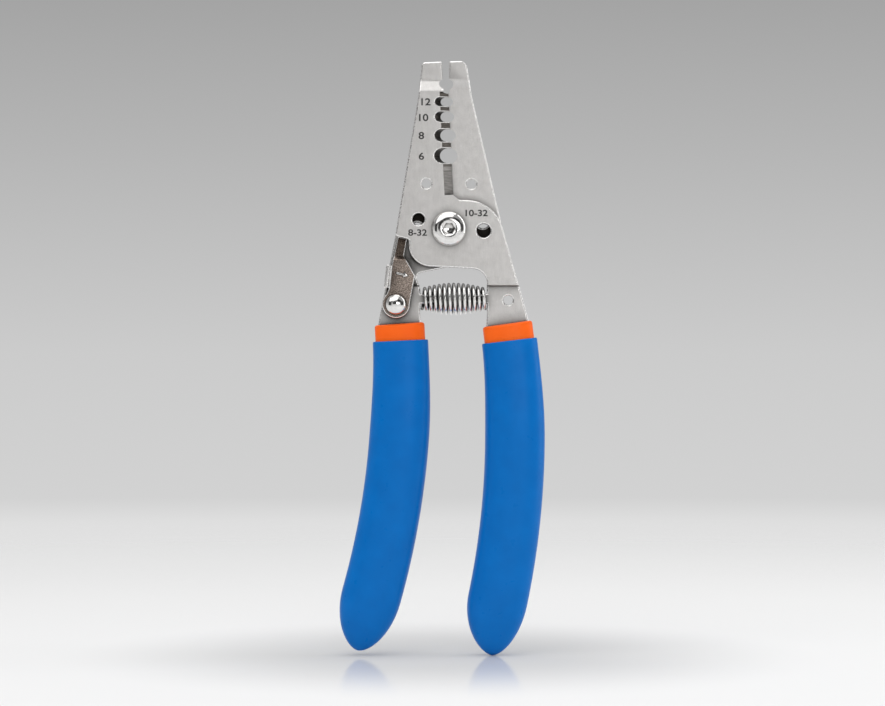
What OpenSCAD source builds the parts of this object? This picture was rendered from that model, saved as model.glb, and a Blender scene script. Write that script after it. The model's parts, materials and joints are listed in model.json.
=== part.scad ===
// Wire stripper with curved handles: two lapped steel levers on a screw pivot, strip notches
// and shear blades in the jaws, a barrel return spring, a thumb lock and two-layer dipped grips.
// Millimetres. X to the right, Y to the back, Z up, the front faces -Y.
// Outlines are drawn from the pivot axis and then set on the ground under the grips' middle.

/* [Levers] */
// Thickness of each lever plate
plate_t = 2.6; // [2:0.1:3.2]
// Gap of each plate to the plane between the two levers
lap_gap = 0.05; // [0.03:0.01:0.1]
// Degrees that the tool stands open at rest, held by its lock
rest_open = 1.5; // [0.5:0.1:2]
// Degrees from rest to fully open, where the screw holes line up
open_deg = 16; // [12:1:18]
// Depth below the pivot where the legs step to the middle plane
step_d = 17.2; // [16:0.1:18]
// Height of the steep face of that step
step_h = 0.5; // [0.4:0.1:0.8]
// How far the plate swells just above the step
ridge_t = 0.2; // [0.1:0.05:0.4]
// Height of that swelling
ridge_h = 3; // [2:0.5:4]

/* [Jaws] */
// Height of the jaw tips above the pivot
jaw_h = 51.3; // [46:0.1:58]
// Lean in degrees of the parting line to the left, with the jaws closed
jaw_tilt = 2; // [1:0.1:3]
// Offset of the parting line to the right of the pivot
part_x = 0.7; // [0.3:0.1:1]
// Width of each blunt nose
nose_w = 6.2; // [5.5:0.1:7]
// Height of each flat nose pad
nose_h = 6.1; // [5:0.1:8]
// Gap between the noses with the jaws closed
nose_gap = 0.8; // [0.4:0.1:1.2]
// Corner radius of the noses
nose_r = 1.1; // [0.4:0.1:2]
// Height of the slope between the left nose and its blade
left_slope = 3.1; // [2:0.1:3.4]
// Height of the slope between the right nose and its blade
right_slope = 1.9; // [1.5:0.1:3.4]
// Distance from the nose pads down to the upper end of the blades
blade_drop = 4; // [3.7:0.1:5]
// Height of the lower end of the blades above the pivot
blade_foot = 10.1; // [9.5:0.1:11]
// How far each blade reaches past the parting line
edge_lap = 1.1; // [0.8:0.1:1.4]
// Width of the ground bevel on each blade
bevel_w = 2.7; // [2:0.1:3]
// Flat land left along each cutting edge
blade_land = 0.25; // [0.15:0.05:0.4]
// Radius of the small round hole under the noses
pull_r = 1.6; // [1.2:0.1:1.8]
// Distance from the nose pads down to that hole's centre
pull_drop = 0.8; // [0.5:0.1:1.2]

/* [Strip notches] */
// Degrees of slope of the relief behind each notch
relief_deg = 36; // [25:1:40]
// Radius of the first notch
notch_1_r = 1.4; // [1.2:0.05:1.5]
// Radius of the second notch
notch_2_r = 1.65; // [1.5:0.05:1.8]
// Radius of the third notch
notch_3_r = 2; // [1.8:0.05:2.2]
// Radius of the fourth notch
notch_4_r = 2.4; // [2.2:0.05:2.6]
// Distance from the upper end of the blades to the first notch
notch_1_drop = 2.3; // [2:0.1:2.6]
// Distance from the first notch to the second
notch_2_drop = 4.6; // [4:0.1:5]
// Distance from the second notch to the third
notch_3_drop = 5.7; // [5:0.1:6]
// Distance from the third notch to the fourth
notch_4_drop = 6.2; // [5.6:0.1:6.6]

/* [Head] */
// Width of the head on each side of the pivot, at the shoulder
head_w = 16.5; // [16:0.1:17.5]
// Depth of the shoulder below the pivot
shoulder_d = 2.2; // [1.8:0.1:2.6]
// Width of the head on each side of the pivot, below the shoulder
waist_w = 12.3; // [12:0.1:12.8]
// Depth of the front lever's head below the pivot
chin_d = 11.2; // [10.5:0.1:11.8]
// How much less deep the rear lever's head is, at the right
chin_rise = 2; // [1.5:0.1:2.5]
// Corner radius of the heads at the lower side
chin_r = 6.5; // [5:0.5:7]
// Height of the front lever's head above the pivot
brow_h = 8.8; // [8:0.1:9.4]
// Corner radius of the heads at the upper side
brow_r = 11.5; // [9:0.5:12]
// Width of the left jaw where its slanted edge ends
left_jaw_w = 9.4; // [9:0.1:10]
// Width of the right jaw where its slanted edge ends
right_jaw_w = 7.1; // [6.8:0.1:8]
// Radius of the small screw-cutting hole
screw_1_r = 1.8; // [1.4:0.05:2]
// Distance of that hole to the left of the pivot
screw_1_x = 9.3; // [8.6:0.1:9.6]
// Height of that hole above the pivot
screw_1_z = 2.9; // [2:0.1:4]
// Radius of the large screw-cutting hole
screw_2_r = 2.1; // [1.8:0.05:2.4]
// Distance of that hole to the right of the pivot
screw_2_x = 10.6; // [10:0.1:11]
// Depth of that hole below the pivot
screw_2_d = 0.6; // [0:0.1:1.5]
// Radius of the wire-bending holes
loop_r = 1.45; // [1.2:0.05:1.6]
// Distance of the wire-bending holes in the jaws to the side of the pivot
loop_x = 6.9; // [6.5:0.1:7.5]
// Height of the wire-bending holes in the jaws above the pivot
loop_z = 13.8; // [13.2:0.1:16]
// Distance of the wire-bending hole in the right leg below the step
leg_loop_drop = 4.6; // [4:0.1:5.5]
// Distance of that hole from the inner edge of the leg
leg_loop_inset = 6.5; // [5.5:0.1:7]

/* [Legs and handles] */
// Depth below the pivot where the legs enter the grips
leg_d = 29; // [28.5:0.1:32]
// Distance of the right leg's inner edge from the pivot
right_leg_x = 11.6; // [11.2:0.1:12]
// Distance of the left leg's inner edge from the pivot
left_leg_x = 8.8; // [8.4:0.1:9.2]
// Depth of the left leg's neck below the pivot
neck_d = 13.8; // [13:0.1:14.4]
// How much deeper than the leg's inner edge the neck is cut in
neck_in = 1.5; // [0.5:0.1:2]
// Width of the tangs inside the grips
tang_w = 13.2; // [12:0.1:13.4]
// Distance from the middle of a tang's round end to the end of the first dip
tang_end = 12.5; // [12:0.5:16]
// Radius of the bow that both handles follow
bow_r = 245; // [220:5:320]
// Distance of the right handle from the pivot where it is upright
right_bow_x = 20.2; // [19.8:0.1:20.6]
// Distance from the grip's upper edge down to there
right_bow_drop = 34; // [28:1:40]
// Distance of the left handle from the pivot where it is upright
left_bow_x = 14.6; // [14.2:0.1:15]
// Distance from the grip's upper edge down to there
left_bow_drop = 17; // [12:1:22]

/* [Grips] */
// Length of the right grip
right_grip_l = 101; // [90:0.5:115]
// Length of the left grip
left_grip_l = 99.8; // [90:0.5:115]
// Height of the first dip that shows above the second
band_h = 5.2; // [4:0.1:8]
// Thickness of the first dip at the tang's edges
under_side = 1.05; // [0.8:0.05:1.3]
// Thickness of the first dip on the tang's faces
under_face = 2.5; // [2:0.1:2.8]
// Thickness of the second dip at its upper edge, at the sides
lip_side = 0.85; // [0.6:0.05:1.2]
// Thickness of the second dip at its upper edge, on the faces
lip_face = 1.2; // [0.8:0.1:1.8]
// Full thickness of the second dip at the sides
outer_side = 1.55; // [1.2:0.05:2]
// Full thickness of the second dip on the faces
outer_face = 2.5; // [2.2:0.1:3]
// Length over which the second dip swells to its full thickness
swell_l = 30; // [20:1:40]
// Length of the pointed end of each dip
tip_l = 16.5; // [14:0.5:20]
// Thickness of the second dip past the end of the first
tip_wall = 5; // [3:0.5:7]
// How far the right tip leans to the right
right_lean = 2; // [0:0.1:3]
// How far the left tip leans to the right
left_lean = 0.8; // [0:0.1:3]
// Squareness of the grips' section, 2 for an ellipse
grip_square = 2.5; // [2:0.1:3.5]

/* [Pivot] */
// Diameter of the pivot screw's shank
pivot_d = 6; // [5.4:0.1:6.6]
// Clearance of the turning pieces on their pins and beside their washers
run_gap = 0.05; // [0.02:0.01:0.1]
// Radial gap of the pieces that sit still on a pin
fixed_gap = 0.02; // [0.01:0.01:0.04]
// Diameter of the pivot screw's head
screw_head_d = 10.6; // [9:0.1:12]
// Height of the pivot screw's head
screw_head_h = 2.4; // [2:0.1:2.8]
// Width across the flats of its socket
socket_af = 3.3; // [2.5:0.1:4]
// Depth of its socket
socket_h = 1.5; // [1:0.1:1.8]
// Diameter of its threaded end
thread_d = 5; // [4:0.1:5.2]
// Diameter of the spring washer under the nut
washer_d = 9.6; // [8:0.1:11]
// Thickness of the spring washer
washer_t = 0.5; // [0.3:0.1:0.8]
// Width across the flats of the nut
nut_af = 8; // [7:0.1:10]
// Thickness of the nut
nut_t = 2.6; // [2:0.1:2.8]

/* [Return spring] */
// Distance of the spring's axis below the step in the legs
spring_drop = 4.2; // [4:0.1:4.6]
// Diameter of the spring's wire
wire_d = 0.85; // [0.7:0.05:0.9]
// Bend radius of the wire where a tail turns into the coil
wire_bend = 0.55; // [0.5:0.05:0.8]
// Outer diameter of the spring at its middle
spring_mid_d = 9.2; // [8.5:0.1:9.6]
// Outer diameter of the spring at its ends
spring_end_d = 7; // [6.6:0.1:7.4]
// Turns of the spring
spring_turns = 13; // [9:1:13]
// Length of the horn inside each end of the spring
horn_l = 4; // [2:0.5:6]
// Width of the horn where it leaves the leg
horn_w = 3.2; // [2:0.1:3.4]

/* [Lock] */
// Thickness of the lock's sheet
lock_t = 1.2; // [1:0.1:1.3]
// Distance of the lock's rivet from the inner edge of the left leg
lock_inset = 7.4; // [7:0.1:7.6]
// Distance of the lock's rivet above the upper edge of the grips
lock_rise = 5.9; // [5.5:0.1:6.2]
// Radius of the lock's round end
lock_end_r = 4.2; // [3.8:0.1:4.4]
// Width of the lock's tip
lock_tip_w = 2.9; // [2.4:0.1:3]
// Width of the lock at its widest
lock_w = 7.1; // [6.6:0.1:7.4]
// Distance of the lock's left edge from its rivet, at the top of the tab
lock_left = 1.3; // [1:0.1:1.6]
// Height of the widest place above the rivet
lock_wide_h = 8.8; // [8:0.1:9.5]
// Height above the rivet where the tip is set back
lock_set_h = 14.8; // [14:0.1:15.4]
// Height of the slope that sets it back
lock_set_l = 1.2; // [0.8:0.1:1.6]
// Height of the finger tab's upper end above the rivet
tab_top = 11.9; // [11.4:0.1:12.2]
// Height of the bent finger tab
tab_h = 7; // [5:0.1:7.4]
// How far the finger tab stands forward past its bend
tab_l = 2.6; // [2:0.1:2.9]
// Inner bend radius of the finger tab
tab_bend = 0.4; // [0.3:0.1:0.6]
// How much further left the tab's lower end is
tab_lean = 0.8; // [0.4:0.1:1]
// Gap of the lock's tip behind the shoulder and in front of the rear lever
tip_gap = 0.15; // [0.1:0.01:0.2]
// Gap of the lock's tip beside the waist
tip_side = 0.45; // [0.35:0.05:0.6]
// Diameter of the rivet's shank
rivet_d = 4; // [3:0.1:4.4]
// Diameter of the rivet's dome
rivet_head_d = 6.4; // [5.6:0.1:7]
// Height of the rivet's dome
rivet_head_h = 1.9; // [1.4:0.1:2.2]
// Diameter of the rivet's formed tail
rivet_tail_d = 6; // [5.4:0.1:7]
// Height of the rivet's formed tail
rivet_tail_h = 1; // [0.8:0.1:1.5]
// Diameter of the friction washer under the lock
lock_washer_d = 7.6; // [7:0.1:8]
// Thickness of the friction washer under the lock
lock_washer_t = 0.4; // [0.3:0.05:0.5]

/* [Hidden] */
$fn = 48;
// Reach of cuts that go right through, and steps of a rounded corner
far = 300;
corner_steps = 8;
// Corner radii of the outlines: barely broken, small, soft and wide
fine_r = 0.5;
small_r = 1;
soft_r = 1.5;
wide_r = 4.5;

// Planes across the thickness: the middle plane holds the noses, legs and tangs
mid_y = plate_t / 2;
face_y = plate_t + lap_gap;
// Jaws: each lever's lean at rest, and the heights along the parting line
left_tilt = jaw_tilt + rest_open / 2;
right_tilt = jaw_tilt - rest_open / 2;
nose_v = jaw_h - nose_h;
blade_v = nose_v - blade_drop;
tooth_rise = 0.5;
foot_land = 0.2;
slant_drop = 0.8;
slant_v = blade_v - slant_drop;
notch_1_v = blade_v - notch_1_drop;
notch_2_v = notch_1_v - notch_2_drop;
notch_3_v = notch_2_v - notch_3_drop;
notch_4_v = notch_3_v - notch_4_drop;
notches = [
    [notch_1_v, notch_1_r], [notch_2_v, notch_2_r], [notch_3_v, notch_3_r], [notch_4_v, notch_4_r],
];
// Heads: fall of the shoulder and of the chin, and the rear head's place inside the front one
shoulder_fall = 1.1;
chin_fall = 1.3;
rear_inset = 0.5;
brow_run = 2;
brow_foot = edge_lap + brow_run;
spring_d = step_d + spring_drop;
lock_x = left_leg_x + lock_inset;
lock_d = leg_d - lock_rise;

// Geometry helpers: unit vector, corner arc, rounded outline, point in a jaw's own frame
function unit(v) = v / norm(v);
function flat(p) = [p[0], p[1]];
function corner(a, b, c) =
    b[2] == 0 ? [flat(b)] :
    let (
        u = unit(flat(a) - flat(b)),
        w = unit(flat(c) - flat(b)),
        half = acos(max(-1, min(1, u * w))) / 2,
        room = min(norm(flat(a) - flat(b)), norm(flat(c) - flat(b))) * 0.95,
        run = min(b[2] / tan(half), room),
        r = run * tan(half),
        mid = flat(b) + unit(u + w) * r / sin(half),
        p = flat(b) + u * run - mid,
        q = flat(b) + w * run - mid,
        turn = atan2(p[0] * q[1] - p[1] * q[0], p * q)
    )
    [for (i = [0:corner_steps]) let (t = turn * i / corner_steps)
        mid + [p[0] * cos(t) - p[1] * sin(t), p[0] * sin(t) + p[1] * cos(t)]];
function rounded(pts) =
    [for (i = [0:len(pts) - 1])
        each corner(pts[(i + len(pts) - 1) % len(pts)], pts[i], pts[(i + 1) % len(pts)])];
function jaw_pt(u, v, tilt, r = 0) =
    [(part_x + u) * cos(tilt) - v * sin(tilt), (part_x + u) * sin(tilt) + v * cos(tilt), r];

// Handle bow: side is +1 for the right handle and -1 for the left one
function bow_x(side) = side > 0 ? right_bow_x : -left_bow_x;
function bow_d(side) = leg_d + (side > 0 ? right_bow_drop : left_bow_drop);
function tip_d(side) = leg_d + (side > 0 ? right_grip_l : left_grip_l);
function lean(side) = side > 0 ? right_lean : left_lean;
function bow_a(side, depth) = asin((depth - bow_d(side)) / bow_r);
function bow_pt(side, a, across) =
    [bow_x(side) - bow_r + (bow_r + across) * cos(a), -bow_d(side) - (bow_r + across) * sin(a), 0];
// Outline of a tang, down its right side, round its end and up its left side
tang_steps = 20;
tang_end_steps = 12;
function tang_pts(side) =
    let (
        a0 = bow_a(side, leg_d),
        a1 = bow_a(side, tip_d(side) - tip_wall - tang_end),
        c = flat(bow_pt(side, a1, 0)),
        across = [cos(a1), -sin(a1)],
        down = [-sin(a1), -cos(a1)]
    )
    concat(
        [for (i = [0:tang_steps]) bow_pt(side, a0 + (a1 - a0) * i / tang_steps, tang_w / 2)],
        [for (i = [1:tang_end_steps - 1])
            let (q = 180 * i / tang_end_steps, p = c + tang_w / 2 * (across * cos(q) + down * sin(q)))
            [p[0], p[1], 0]],
        [for (i = [tang_steps:-1:0]) bow_pt(side, a0 + (a1 - a0) * i / tang_steps, -tang_w / 2)]
    );
// Horn that holds one end of the spring, pointing along dir from the leg's edge at x, in rising order
function horn_pts(x, dir) = [
    [x, -spring_d - horn_w / 2, 0],
    [x + dir * horn_l, -spring_d - horn_w / 3, 0],
    [x + dir * horn_l, -spring_d + horn_w / 3, 0],
    [x, -spring_d + horn_w / 2, 0],
];
function reversed(list) = [for (i = [len(list) - 1:-1:0]) list[i]];
// Where the brow line meets the line of a leg's outer edge
function brow_x(side) =
    let (p = bow_pt(side, bow_a(side, leg_d), side * tang_w / 2))
    side * head_w + (p[0] - side * head_w) * brow_h / p[1];

// Extrudes an outline of X and Z from y0 to y1
module plate(y0, y1) {
    translate([0, y1, 0]) rotate([90, 0, 0]) linear_extrude(y1 - y0) children();
}

// Extrudes a side view of Y and Z across the tool
module side_view() {
    translate([-far / 2, 0, 0]) rotate([90, 0, 90]) linear_extrude(far) children();
}

// Round bar along Y, with its axis at x and z
module bar(x, z, r, y0 = -far, y1 = far) {
    translate([x, y1, z]) rotate([90, 0, 0]) cylinder(h = y1 - y0, r = r);
}

// Moves a jaw's own frame, of u across and v along the parting line, to the lever
module jaw_frame(tilt, side) {
    rotate([0, -tilt, 0]) translate([part_x, 0, 0]) rotate([0, 0, side > 0 ? 0 : 180]) children();
}

// Side view of the front lever: nose and leg in the middle plane, head and blade in front
module bent_sheet(slope) {
    polygon([
        [-mid_y, far], [-mid_y, nose_v], [-face_y, nose_v - slope],
        [-face_y, ridge_h - step_d], [-face_y - ridge_t, -step_d], [-mid_y, -step_d - step_h],
        [-mid_y, -far], [mid_y, -far], [mid_y, -step_d - step_h], [-lap_gap, -step_d],
        [-lap_gap, nose_v - slope], [mid_y, nose_v], [mid_y, far],
    ]);
}

module front_outline() {
    polygon(rounded([
        jaw_pt(-nose_gap / 2 - nose_w, jaw_h, left_tilt, nose_r),
        jaw_pt(-nose_gap / 2, jaw_h, left_tilt, nose_r / 2),
        jaw_pt(-nose_gap / 2, blade_v + tooth_rise, left_tilt),
        jaw_pt(edge_lap, blade_v, left_tilt),
        jaw_pt(edge_lap, blade_foot, left_tilt),
        [brow_foot, brow_h, soft_r],
        [brow_x(1), brow_h, brow_r],
        each tang_pts(1),
        [right_leg_x, -spring_d - 1.5 * horn_w, 0],
        each horn_pts(right_leg_x, -1),
        [right_leg_x, -chin_d - chin_fall, wide_r],
        [-waist_w, -chin_d, chin_r],
        [-waist_w, -shoulder_d - shoulder_fall, fine_r],
        [-head_w, -shoulder_d, small_r],
        [-left_jaw_w, slant_v, wide_r],
    ]));
}

module rear_outline() {
    polygon(rounded([
        jaw_pt(nose_gap / 2, jaw_h, right_tilt, nose_r / 2),
        jaw_pt(nose_gap / 2 + nose_w, jaw_h, right_tilt, nose_r),
        [right_jaw_w, slant_v, wide_r],
        [head_w, 0, fine_r],
        [head_w - rear_inset, -shoulder_d, small_r],
        [waist_w, -shoulder_d - shoulder_fall, fine_r],
        [waist_w, -chin_d + chin_rise, chin_r],
        [-left_leg_x - neck_in, -neck_d, soft_r],
        [-left_leg_x, -spring_d + horn_w, wide_r],
        each reversed(horn_pts(-left_leg_x, 1)),
        [-left_leg_x, -spring_d - 1.5 * horn_w, 0],
        each tang_pts(-1),
        [brow_x(-1) + rear_inset, brow_h - rear_inset, brow_r * 0.8],
        [-brow_foot, brow_h - rear_inset, soft_r],
        jaw_pt(-edge_lap, blade_foot, right_tilt),
        jaw_pt(-edge_lap, blade_v, right_tilt),
        jaw_pt(nose_gap / 2, blade_v + tooth_rise, right_tilt),
    ]));
}

// Bevel, strip notches and round hole of one jaw, cut in its own frame
module blade_cuts(tilt, side) {
    bevel_d = face_y - lap_gap - blade_land;
    jaw_frame(tilt, side) {
        translate([0, 0, blade_foot + foot_land])
            linear_extrude(blade_v + tooth_rise - blade_foot) polygon([
                [edge_lap + bevel_w, bevel_d - lap_gap - blade_land],
                [edge_lap - 2 * bevel_w, -face_y - bevel_d],
                [edge_lap + bevel_w, -face_y - bevel_d],
            ]);
        for (n = notches) translate([n[1] * (1 / cos(relief_deg) - 1), -lap_gap, n[0]])
            rotate([0, 0, -relief_deg]) rotate([90, 0, 0])
            linear_extrude(8 * plate_t, center = true) {
                circle(r = n[1]);
                translate([0, -n[1]]) square([4 * n[1], 2 * n[1]]);
            }
        translate([0, 0, nose_v - pull_drop]) rotate([90, 0, 0])
            cylinder(h = far, r = pull_r, center = true);
    }
}

module screw_holes() {
    bar(-screw_1_x, screw_1_z, screw_1_r);
    bar(screw_2_x, -screw_2_d, screw_2_r);
}

// Space behind the front lever's shoulder that the lock's tip moves in
module tip_relief() {
    low = -shoulder_d - 2 * shoulder_fall;
    high = (lock_tip_w - tip_x) * sin(open_deg) + tip_z * cos(open_deg) + tip_side;
    translate([-far - waist_w, -tip_y - lock_t - tip_gap, low]) cube([far, far, high - low]);
}

module front_lever_shape() {
    color("silver") difference() {
        intersection() {
            plate(-face_y - plate_t, face_y) front_outline();
            side_view() bent_sheet(left_slope);
        }
        blade_cuts(left_tilt, 1);
        bar(0, 0, pivot_d / 2 + fixed_gap);
        screw_holes();
        bar(-loop_x, loop_z, loop_r);
        bar(right_leg_x + leg_loop_inset, -step_d - leg_loop_drop, loop_r);
        tip_relief();
    }
}

module rear_lever_shape() {
    color("silver") difference() {
        intersection() {
            plate(-face_y, face_y + plate_t) rear_outline();
            side_view() mirror([1, 0]) bent_sheet(right_slope);
        }
        blade_cuts(right_tilt, -1);
        bar(0, 0, pivot_d / 2 + run_gap);
        rotate([0, -open_deg, 0]) screw_holes();
        bar(loop_x, loop_z, loop_r);
        bar(-lock_x, -lock_d, rivet_d / 2 + fixed_gap);
    }
}

// Pivot hardware, from the front: domed head, shank, threaded end, washer and nut
shank_y = face_y + run_gap;
nut_y = shank_y + washer_t;
rim_h = screw_head_h / 4;
crown_r = screw_head_d / 4;
dome_steps = 6;

module pivot_screw_shape() {
    color("gainsboro") difference() {
        rotate([90, 0, 0]) rotate_extrude() polygon(concat(
            [[0, -nut_y - nut_t], [thread_d / 2, -nut_y - nut_t], [thread_d / 2, -shank_y],
                [pivot_d / 2, -shank_y], [pivot_d / 2, face_y], [screw_head_d / 2, face_y]],
            [for (i = [0:dome_steps]) let (a = 90 * i / dome_steps)
                [crown_r + (screw_head_d / 2 - crown_r) * cos(a),
                    face_y + rim_h + (screw_head_h - rim_h) * sin(a)]],
            [[0, face_y + screw_head_h]]
        ));
        translate([0, -face_y - screw_head_h + socket_h, 0]) rotate([90, 0, 0])
            cylinder(h = far, d = socket_af / cos(30), $fn = 6);
    }
}

module pivot_washer_shape() {
    color("dimgray") difference() {
        bar(0, 0, washer_d / 2, shank_y, nut_y);
        bar(0, 0, thread_d / 2 + fixed_gap);
    }
}

module pivot_nut_shape() {
    color("gainsboro") difference() {
        translate([0, nut_y + nut_t, 0]) rotate([90, 0, 0])
            cylinder(h = nut_t, d = nut_af / cos(30), $fn = 6);
        bar(0, 0, thread_d / 2 + fixed_gap);
    }
}

// Return spring: one wire from leg to leg on a barrel, straight at both ends
curl_rings = 8;
bend_rings = 3;
wire_sides = 6;
end_r = (spring_end_d - wire_d) / 2;
mid_r = (spring_mid_d - wire_d) / 2;
start_x = -left_leg_x;
stop_x = right_leg_x;
lead = wire_d + wire_bend;
lead_a = asin(wire_bend / end_r);
coil_n = spring_turns * curl_rings;
function coil_pt(i) =
    let (
        t = i / coil_n,
        a = lead_a + (360 * spring_turns - 2 * lead_a) * t,
        r = end_r + (mid_r - end_r) * sin(180 * t)
    )
    [start_x + lead + (stop_x - start_x - 2 * lead) * t, r * sin(a), -spring_d - r * cos(a)];
function lead_pt(i) =
    let (a = 90 * i / bend_rings)
    [start_x + wire_d + wire_bend * sin(a), wire_bend * (1 - cos(a)), -spring_d - end_r];
function turned(p) = [start_x + stop_x - p[0], -p[1], p[2]];
wire_path = concat(
    [[start_x, 0, -spring_d - end_r]],
    [for (i = [0:bend_rings - 1]) lead_pt(i)],
    [for (i = [0:coil_n]) coil_pt(i)],
    [for (i = [bend_rings - 1:-1:0]) turned(lead_pt(i))],
    [[stop_x, 0, -spring_d - end_r]]
);
wire_n = len(wire_path);
function heading(i) =
    i == 0 || i == wire_n - 1 ? [1, 0, 0] :
    unit(unit(wire_path[i + 1] - wire_path[i]) + unit(wire_path[i] - wire_path[i - 1]));
// Side directions of the rings, each carried on from the last so that the tube doesn't twist
function carried(i, last) =
    i == wire_n ? [] :
    let (h = heading(i), s = unit(last - h * (last * h))) concat([s], carried(i + 1, s));
wire_side = carried(0, [0, 0, 1]);
wire_points = [for (i = [0:wire_n - 1]) for (k = [0:wire_sides - 1])
    let (s = wire_side[i], t = cross(heading(i), s), a = 360 * k / wire_sides)
    wire_path[i] + (s * cos(a) + t * sin(a)) * wire_d / 2];

// Triangles of a tube of rings, closed by a fan at each end
function tube_faces(rings, sides) = concat(
    [for (k = [1:sides - 2]) [0, k + 1, k]],
    [for (i = [0:rings - 2]) for (k = [0:sides - 1])
        let (a = i * sides + k, b = i * sides + (k + 1) % sides)
        each [[a, b, a + sides], [b, b + sides, a + sides]]],
    [for (k = [1:sides - 2]) let (z = (rings - 1) * sides) [z, z + k, z + k + 1]]
);

// Least gap of the wire to itself, measured between points a good part of a turn apart
wire_gap = min([for (i = [0:wire_n - 1]) for (j = [i + 5:1:wire_n - 1])
    norm(wire_path[i] - wire_path[j])]) - wire_d;
echo(spring_least_gap_mm = wire_gap);

module return_spring_shape() {
    color("silver") polyhedron(wire_points, tube_faces(wire_n, wire_sides));
}

// Thumb lock: body over the leg, tip set back behind the front lever's shoulder
lock_y = mid_y + lock_washer_t + run_gap;
tip_y = tip_gap - lap_gap;
tip_x = -waist_w - tip_side;
tip_low = 0.2;
tip_z = -shoulder_d - tip_low;
tip_slant = 0.6;
tip_neck = 1;
lock_edge = -lock_x - lock_left;

module lock_outline() {
    translate([-lock_x, -lock_d]) circle(r = lock_end_r);
    polygon(rounded([
        [tip_x - lock_tip_w, tip_z, fine_r],
        [tip_x, tip_z - tip_slant, fine_r],
        [tip_x - tip_neck, lock_set_h - lock_d, fine_r],
        [lock_edge + lock_w, lock_wide_h - lock_d, small_r],
        [-lock_x + lock_end_r, -lock_d, 0],
        [-lock_x - lock_end_r, -lock_d, 0],
        [lock_edge - tab_lean, tab_top - tab_h - lock_d, fine_r],
        [lock_edge, tab_top - lock_d, small_r],
    ]));
}

module lock_sheet() {
    set_z = lock_set_h - lock_d;
    polygon([
        [-lock_y - lock_t, -far], [-lock_y - lock_t, set_z - lock_set_l],
        [-tip_y - lock_t, set_z], [-tip_y - lock_t, far],
        [-tip_y, far], [-tip_y, set_z],
        [-lock_y, set_z - lock_set_l], [-lock_y, -far],
    ]);
}

// Finger tab: the sheet bends forward by a quarter turn at the body's left edge
module finger_tab() {
    bend_r = tab_bend + lock_t;
    bend_steps = 6;
    translate([lock_edge - tab_lean, -lock_y, tab_top - tab_h - lock_d])
        rotate([0, atan(tab_lean / tab_h), 0])
        linear_extrude(tab_h) polygon(concat(
            [[small_r, 0]],
            [for (i = [0:bend_steps]) let (a = 90 * i / bend_steps)
                [-bend_r * sin(a), -bend_r * (1 - cos(a))]],
            [[-bend_r, -bend_r - tab_l], [-tab_bend, -bend_r - tab_l]],
            [for (i = [bend_steps:-1:0]) let (a = 90 * i / bend_steps)
                [-tab_bend * sin(a), -bend_r + tab_bend * cos(a)]],
            [[small_r, -lock_t]]
        ));
}

module lock_lever_shape() {
    color("dimgray") difference() {
        union() {
            intersection() {
                plate(-far, far) lock_outline();
                side_view() lock_sheet();
            }
            finger_tab();
        }
        bar(-lock_x, -lock_d, rivet_d / 2 + run_gap);
    }
}

module lock_rivet_shape() {
    head_y = lock_y + lock_t + run_gap;
    color("gainsboro") translate([-lock_x, 0, -lock_d]) rotate([90, 0, 0])
        rotate_extrude() polygon(concat(
            [[0, -mid_y - rivet_tail_h], [rivet_tail_d / 2 - rivet_tail_h / 3, -mid_y - rivet_tail_h],
                [rivet_tail_d / 2, -mid_y], [rivet_d / 2, -mid_y], [rivet_d / 2, head_y]],
            [for (i = [0:dome_steps]) let (a = 90 * i / dome_steps)
                [rivet_head_d / 2 * cos(a), head_y + rivet_head_h * sin(a)]]
        ));
}

module lock_washer_shape() {
    color("dimgray") difference() {
        bar(-lock_x, -lock_d, lock_washer_d / 2, -mid_y - lock_washer_t, -mid_y);
        bar(-lock_x, -lock_d, rivet_d / 2 + fixed_gap);
    }
}

// Dipped grips: a rounded section swept down the handle's bow and drawn in to a point
grip_sides = 24;
body_rings = 12;
tip_rings = 7;
grip_rings = body_rings + tip_rings + 1;
tip_power = 0.58;
under_w = tang_w + 2 * under_side;
under_t = plate_t + 2 * under_face;
function ease(t) = let (c = max(0, min(1, t))) c * c * (3 - 2 * c);
function power(c, p) = sign(c) * pow(abs(c), p);
// Depths of a grip's rings, closer together near the tip
function ring_depths(d0, d1) = concat(
    [for (i = [0:body_rings]) d0 + (d1 - tip_l - d0) * i / body_rings],
    [for (i = [1:tip_rings]) d1 - tip_l * pow(1 - i / (tip_rings + 1), 2)]
);
function grip_ring(side, depth, d1, half_w, half_t) =
    let (
        a = bow_a(side, depth),
        c = 1 - min(1, (d1 - depth) / tip_l),
        f = pow(1 - c * c, tip_power),
        shift = lean(side) * (1 - f)
    )
    [for (k = [0:grip_sides - 1])
        let (
            q = 360 * k / grip_sides,
            p = bow_pt(side, a, shift + half_w * f * power(cos(q), 2 / grip_square))
        )
        [p[0], half_t * f * power(sin(q), 2 / grip_square), p[1]]];
function under_points(side) =
    let (d1 = tip_d(side) - tip_wall)
    [for (d = ring_depths(leg_d, d1)) each grip_ring(side, d, d1, under_w / 2, under_t / 2)];
function outer_points(side) =
    let (d0 = leg_d + band_h, d1 = tip_d(side))
    [for (d = ring_depths(d0, d1))
        let (s = ease((d - d0) / swell_l))
        each grip_ring(side, d, d1, under_w / 2 + lip_side + (outer_side - lip_side) * s,
            under_t / 2 + lip_face + (outer_face - lip_face) * s)];

module under_solid(side) {
    polyhedron(under_points(side), tube_faces(grip_rings, grip_sides));
}

module under_grip_shape(side) {
    above = bow_a(side, leg_d - band_h);
    cavity = concat([bow_pt(side, above, tang_w / 2)], tang_pts(side), [bow_pt(side, above, -tang_w / 2)]);
    color("darkorange") difference() {
        under_solid(side);
        plate(-mid_y, mid_y) polygon([for (p = cavity) flat(p)]);
    }
}

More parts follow.
